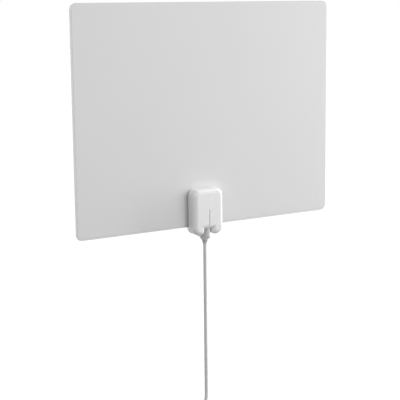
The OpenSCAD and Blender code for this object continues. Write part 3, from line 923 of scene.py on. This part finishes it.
@dataclass(frozen=True)
class Plug:
    """The plug on the lead's end: fluted grip with its sleeve, nickel shell and pin.

    Heights are above the grip's lower end, and waist_depth is below the sleeve's
    top. parts is how finely the fluted profile is cut, and pin_start keeps the
    pin's first ring open.
    """

    mouth_radius: float = 4.7 * MM
    rim: float = 0.3 * MM
    rim_height: float = 1.2 * MM
    side_height: float = 20.6 * MM
    shoulder_radius: float = 4.4 * MM
    shoulder_height: float = 22.6 * MM
    waist_radius: float = 3.2 * MM
    waist_depth: float = 5.0 * MM
    tip_radius: float = 2.5 * MM
    bore_radius: float = 2.02 * MM
    flutes: int = 12
    flute_depth: float = 0.07
    flute_power: float = 1.5
    flute_heights: Pair = (2.6 * MM, 19.4 * MM)
    flute_fade: float = 1.6 * MM
    parts: int = 8
    shell_wall: float = 0.6 * MM
    root_radius: float = 4.5 * MM
    pin_start: float = 0.001 * MM
    pin_rings: int = 10

    def build(self) -> list[Object]:
        """Draws the grip, the shell and the pin.

        Returns:
            The three pieces, each standing for its plain solid.
        """
        pieces = [self.grip(), self.shell(), self.pin()]
        return pieces

    def axis(self) -> Pair:
        """Where the plug's axis stands: the grip's."""
        return axis_of(*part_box("plug_grip"))

    def grip(self) -> Object:
        """Turns the grip, whose flutes fade out towards both ends of its side.

        A flute takes flute_depth * fade * (1/2 + 1/2 cos(flutes * a)) ^ flute_power
        of the radius.

        Returns:
            The grip with its sleeve.
        """
        low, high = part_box("plug_grip")
        end, top, radius = low[2], high[2], (high[0] - low[0]) / 2
        flute_low, flute_high = self.flute_heights

        def fluted(height: np.ndarray, angle: np.ndarray) -> np.ndarray:
            """The factor on the radius.

            Args:
                height: The height of each point.
                angle: Its angle.

            Returns:
                The factor at each point.
            """
            fade = (np.clip((height - end - flute_low) / self.flute_fade, 0, 1)
                    * np.clip((end + flute_high - height) / self.flute_fade, 0, 1))
            wave = (0.5 + 0.5 * np.cos(self.flutes * angle)) ** self.flute_power
            return 1.0 - self.flute_depth * fade * wave

        profile = eased([
            (self.mouth_radius, end, 0),
            (radius - self.rim, end, 0.4 * MM),
            (radius, end + self.rim_height, 0.6 * MM),
            (radius, end + self.side_height, 0.8 * MM),
            (self.shoulder_radius, end + self.shoulder_height, 0.9 * MM),
            (self.waist_radius, top - self.waist_depth, 2.0 * MM),
            (self.tip_radius, top, 0.2 * MM),
            (self.bore_radius, top, 0),
        ])
        grid = turned(finer(profile, self.parts), self.axis(), SHAPED_SIDES, fluted)
        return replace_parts(surface_piece("plug_body", [grid], GRIP), "plug_grip")

    def shell(self) -> Object:
        """Turns the shell, whose root is narrower where it sits in the grip.

        Returns:
            The shell.
        """
        low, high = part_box("plug_shell")
        mouth, step, root = low[2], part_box("plug_grip")[0][2], high[2]
        outer = (high[0] - low[0]) / 2
        inner = outer - self.shell_wall
        profile = eased([
            (inner, root, 0),
            (self.root_radius, root, 0.1 * MM),
            (self.root_radius, step, 0.1 * MM),
            (outer, step, 0.2 * MM),
            (outer, mouth, 0.25 * MM),
            (inner, mouth, 0.25 * MM),
            (inner, root, 0),
        ])[:-1]
        grid = turned(profile, self.axis(), SIDES)
        can = surface_piece("plug_can", [grid], NICKEL, Ends.LOOP)
        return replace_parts(can, "plug_shell")

    def pin(self) -> Object:
        """Turns the pin, whose lower end is half a ball.

        Returns:
            The pin.
        """
        low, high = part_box("plug_pin")
        radius = (high[0] - low[0]) / 2
        bend = np.linspace(0.0, np.pi / 2, self.pin_rings)
        ball = [radius * np.sin(bend) + self.pin_start, low[2] + radius - radius * np.cos(bend)]
        profile = np.concatenate([np.stack(ball, axis=-1), [[radius, high[2]]]])
        grid = turned(profile, self.axis(), SMALL_SIDES)
        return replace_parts(surface_piece("plug_contact", [grid], NICKEL), "plug_pin")


@dataclass(frozen=True)
class Lead:
    """The free coaxial lead: the hanging drop, the tied coil and the tail with its plug.

    Angles are in degrees. In each turn the steps between places take sectors of
    their own: sector_spacing is how close these lie, as a share of an even
    spacing, sector_use is the share of a sector that its step takes, and
    sector_start is where the first begins after the lead's way out.
    """

    diameter: float = 4.0 * MM
    length: float = 1.5
    coil_at: Triple = (0.0, -7.0 * MM, -266.0 * MM)
    coil_radius: float = 24.0 * MM
    pitch: float = 4.2 * MM
    entry_angle: float = 135.0
    exit_angle: float = 180.0
    sector_start: float = 4.0
    sector_spacing: float = 0.98
    sector_use: float = 0.96
    spacing: float = 0.9 * MM
    sides: int = 20
    turn_points: int = 48
    tie: Tie = Tie()
    plug: Plug = Plug()

    def coil_path(self) -> np.ndarray:
        """The coiled stretch, wound turn by turn into its nine places.

        The angle runs on evenly. The layer and the row are steps between the
        places, and each step takes its own sector of the turn, the last place
        first, so that a place is empty before the next turn moves into it.

        Returns:
            Points along the coil, in metres.
        """
        turns = len(Place) - 1
        part_turn = self.exit_angle - self.entry_angle
        span = 360.0 * turns + part_turn
        angle = np.linspace(0.0, span, int(span / 360.0 * self.turn_points) + 1)
        places = np.array([place.value for place in Place], float)
        sector = 360.0 / len(Place)
        spot = np.tile(places[0], (len(angle), 1))
        for step, move in enumerate(np.diff(places, axis=0)):
            sectors_before = (turns - 1 - step) * self.sector_spacing
            begin = 360.0 * step + part_turn + sector * sectors_before + self.sector_start
            spot += smooth_step((angle - begin) / (sector * self.sector_use))[:, None] * move
        layer, row = spot.T
        turn = np.radians(self.entry_angle + angle)
        radius = self.coil_radius + layer * self.pitch
        x, y, z = self.coil_at
        return np.stack([x + radius * np.cos(turn), y + row * self.pitch,
                         z + radius * np.sin(turn)], axis=-1)

    def path(self) -> np.ndarray:
        """The whole route on one smooth curve: the drop, the coil, then the tail.

        A knot halfway joins each two neighbours of these.

        Returns:
            Points in metres, evenly spaced along the curve.
        """
        drop = np.array(DROP_ROUTE, float) * MM
        tail = np.array(TAIL_ROUTE, float) * MM
        coil = self.coil_path()
        way_in, way_out = (drop[-1:] + coil[:1]) / 2, (tail[:1] + coil[-1:]) / 2
        return smooth_route(np.concatenate([drop, way_in, coil, way_out, tail]), self.spacing)

    def build(self) -> None:
        """Draws the lead's jacket along its route, then its tie and its plug."""
        path = self.path()
        grid = tube(path, self.diameter / 2, self.sides)
        cord = surface_piece("lead_cord", [grid], CORD)
        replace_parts(cord, "cable_drop", "cable_coil", "cable_tail")
        run = float(np.linalg.norm(np.diff(path, axis=0), axis=1).sum())
        LOG.info("lead_cord: %d points, %.3f m along its line", len(path), run)
        pieces = [self.tie.build(self.coil_at, self.coil_radius), *self.plug.build(), "plug_insulator"]


# Pod

@dataclass(frozen=True)
class StrainRelief:
    """The moulded strain relief: flange, waist, collar, ring and tapered neck.

    Sizes are radii about its upright axis. The flange's faces are below the
    relief's top, and the other heights are above its foot.
    """

    bore: float = 2.05 * MM
    waist: float = 2.8 * MM
    flange: float = 3.8 * MM
    collar: float = 5.2 * MM
    ring: float = 3.75 * MM
    neck: float = 3.2 * MM
    neck_end: float = 2.4 * MM
    flange_depths: Pair = (1.5 * MM, 3.5 * MM)
    neck_height: float = 4.4 * MM
    ring_height: float = 5.8 * MM
    collar_height: float = 8.0 * MM

    def build(self) -> None:
        """Turns the relief, with its edges eased, in place of its plain solid."""
        low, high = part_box("strain_relief")
        foot, head = low[2], high[2]
        flange_top, flange_foot = (head - depth for depth in self.flange_depths)
        neck_top, ring_top = foot + self.neck_height, foot + self.ring_height
        collar_top = foot + self.collar_height
        profile = eased([
            (self.bore, head, 0),
            (self.waist, head, 0.1 * MM),
            (self.waist, flange_top, 0),
            (self.flange, flange_top, 0.1 * MM),
            (self.flange, flange_foot, 0.1 * MM),
            (self.waist, flange_foot, 0),
            (self.waist, collar_top, 0),
            (self.collar, collar_top, 0.3 * MM),
            (self.collar, ring_top, 0.5 * MM),
            (self.ring, ring_top, 0),
            (self.ring, neck_top, 0.4 * MM),
            (self.neck, neck_top, 0),
            (self.neck_end, foot, 0.5 * MM),
            (self.bore, foot, 0.1 * MM),
            (self.bore, head, 0),
        ])[:-1]
        grid = turned(profile, axis_of(low, high), SIDES)
        piece = surface_piece("relief_sleeve", [grid], RELIEF, Ends.LOOP)
        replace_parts(piece, "strain_relief")
        LOG.info("relief_sleeve: %.1f mm long", (head - foot) / MM)


@dataclass(frozen=True)
class CaseScrews:
    """The four case screws in the rear shell, each with a cross recess in its head.

    face_start is the first ring's share of the face's radius.
    """

    head_radius: float = 1.8 * MM
    head_height: float = 1.1 * MM
    head_edge: float = 0.15 * MM
    shank_radius: float = 1.0 * MM
    cross_depth: float = 0.5 * MM
    cross_reach: float = 1.3 * MM
    cross_width: float = 0.45 * MM
    cross_slope: float = 0.25 * MM
    face_start: float = 0.04
    face_rings: int = 24
    edge_rings: int = 5

    def cross(self, u: np.ndarray, v: np.ndarray) -> np.ndarray:
        """Depth of the cross recess below a screw's face.

        It is cross_depth times the larger of b(u, v) and b(v, u), where b(p, q) is
        s(cross_width - |p|) * s(cross_reach - |q|), and s is the smooth step over
        cross_slope.

        Args:
            u: Places across the face, from the screw's axis.
            v: Places up the face, from the axis.

        Returns:
            The depth at each place.
        """
        bars = [smooth_step((self.cross_width - np.abs(p)) / self.cross_slope)
                * smooth_step((self.cross_reach - np.abs(q)) / self.cross_slope)
                for p, q in ((u, v), (v, u))]
        return self.cross_depth * np.maximum(*bars)

    def build(self) -> None:
        """Turns each screw about its own axis along Y, and sinks the cross into its face."""
        low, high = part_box("case_screws")
        radius, edge, length = self.head_radius, self.head_edge, high[1] - low[1]
        bend = np.linspace(0.0, np.pi / 2, self.edge_rings)
        face = np.linspace(self.face_start, 1.0, self.face_rings) * (radius - edge)
        reach = np.concatenate([face, radius - edge + edge * np.sin(bend),
                                [radius, self.shank_radius, self.shank_radius]])
        depth = np.concatenate([0 * face, edge - edge * np.cos(bend),
                                [self.head_height, self.head_height, length]])
        angle = angles(SIDES)
        u, v = reach[:, None] * np.cos(angle), reach[:, None] * np.sin(angle)
        below = depth[:, None] + np.where(depth[:, None] > 0, 0.0, self.cross(u, v))
        grids = [np.stack([x + u, high[1] - below, z + v], axis=-1)
                 for x in (low[0] + radius, high[0] - radius)
                 for z in (low[2] + radius, high[2] - radius)]
        piece = surface_piece("cross_screws", grids, SCREW)
        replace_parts(piece, "case_screws")
        LOG.info("cross_screws: %d in the rear shell", len(grids))


# Studio

@dataclass(frozen=True)
class Lamp:
    """One soft lamp that points at the pod. Its size is its height and its width."""

    name: str
    at: Triple
    size: Pair
    power: float

    def place(self) -> None:
        """Makes the lamp."""
        light = bpy.data.lights.new(self.name, "AREA")
        light.shape = "RECTANGLE"
        light.size_y, light.size = self.size
        light.energy = self.power
        lamp = placed(self.name, light)
        lamp.location = self.at
        lamp.rotation_euler = (-Vector(self.at)).to_track_quat("-Z", "Y").to_euler()


@dataclass(frozen=True)
class Studio:
    """Floor, world and lamps.

    floor_lift is how bright the floor looks to a ray that sees the background,
    and world is the strength of the light that the world sends to the object.
    """

    floor_height: float = -0.362
    floor_half: float = 12.0
    floor_tone: float = 0.12
    floor_lift: float = 0.97
    world: float = 0.52
    lamps: tuple[Lamp, ...] = (
        Lamp("key_lamp", at=(0.8, -1.25, 0.1), size=(1.2, 1.2), power=9.0),
        Lamp("side_lamp", at=(1.25, -0.2, 0.15), size=(0.9, 0.2), power=11.0),
        Lamp("crest_lamp", at=(0.95, -0.12, 0.75), size=(0.9, 0.16), power=7.2),
        Lamp("fill_lamp", at=(-0.9, -0.9, 0.5), size=(0.8, 0.8), power=5.2),
        Lamp("rear_lamp", at=(-0.7, 1.5, 0.6), size=(1.4, 1.4), power=14.0),
    )

    def floor(self) -> None:
        """Makes the plain floor under the lead, which keeps the object's shadow."""
        mesh = bpy.data.meshes.new("floor")
        corners = [(x * self.floor_half, y * self.floor_half, self.floor_height)
                   for x, y in ((-1, -1), (1, -1), (1, 1), (-1, 1))]
        mesh.from_pydata(corners, [], [(0, 1, 2, 3)])
        floor = placed("floor", mesh)
        material = bpy.data.materials.new("floor_white")
        tree = empty_tree(material)
        seen = background_ray(tree)
        diffuse = add_node(tree, "BsdfDiffuse", {"Color": (*[self.floor_tone] * 3, 1.0)})
        lift = worked(tree, "MULTIPLY", seen, self.floor_lift)
        glow = add_node(tree, "Emission", {"Color": WHITE, "Strength": lift})
        both = add_node(tree, "AddShader", {0: diffuse.outputs[0], 1: glow.outputs[0]})
        add_node(tree, "OutputMaterial", {"Surface": both.outputs[0]})
        mesh.materials.append(material)

    def light(self) -> None:
        """Sets the world, which is white behind the object, and the five soft lamps."""
        world = bpy.data.worlds.new("studio")
        bpy.context.scene.world = world
        tree = empty_tree(world)
        strength = add_node(tree, "Mix", {0: background_ray(tree), 2: self.world, 3: 1.0})
        back = add_node(tree, "Background", {"Color": WHITE, "Strength": strength.outputs[0]})
        add_node(tree, "OutputWorld", {"Surface": back.outputs[0]})
        for lamp in self.lamps:
            lamp.place()


# Kept solids

SOLID_FINISHES: dict[str, Finish] = {
    "front_film": FILM, "back_film": FILM_BACK, "left_element": FOIL, "right_element": FOIL,
    "front_shell": POD, "rear_shell": POD_BACK, "circuit_board": BOARD,
    "board_screws": SCREW, "matching_core": FERRITE, "core_winding": COPPER, "left_contact": BRASS,
    "right_contact": BRASS, "lead_jacket": CORD, "lead_braid": BRAID, "lead_dielectric": INSULATION,
    "lead_wire": COPPER, "lead_clamp": INSULATION, "clamp_screws": SCREW, "plug_insulator": INSULATION,
}


def dress_solids() -> None:
    """Gives each kept solid its finish."""
    for name, finish in SOLID_FINISHES.items():
        dress(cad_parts[name], finish)
        LOG.info("%s: %s", name, finish.name)


def main() -> None:
    """Builds the camera, the lead, the pod's drawn pieces, the solids' looks and the studio."""
    logging.basicConfig(level=logging.INFO, format="%(name)s: %(message)s")
    bpy.context.scene.view_settings.view_transform = "Standard"
    Viewpoint().place()
    Lead().build()
    StrainRelief().build()
    CaseScrews().build()
    dress_solids()
    studio = Studio()
    studio.floor()
    studio.light()


if __name__ == "__main__":
    main()
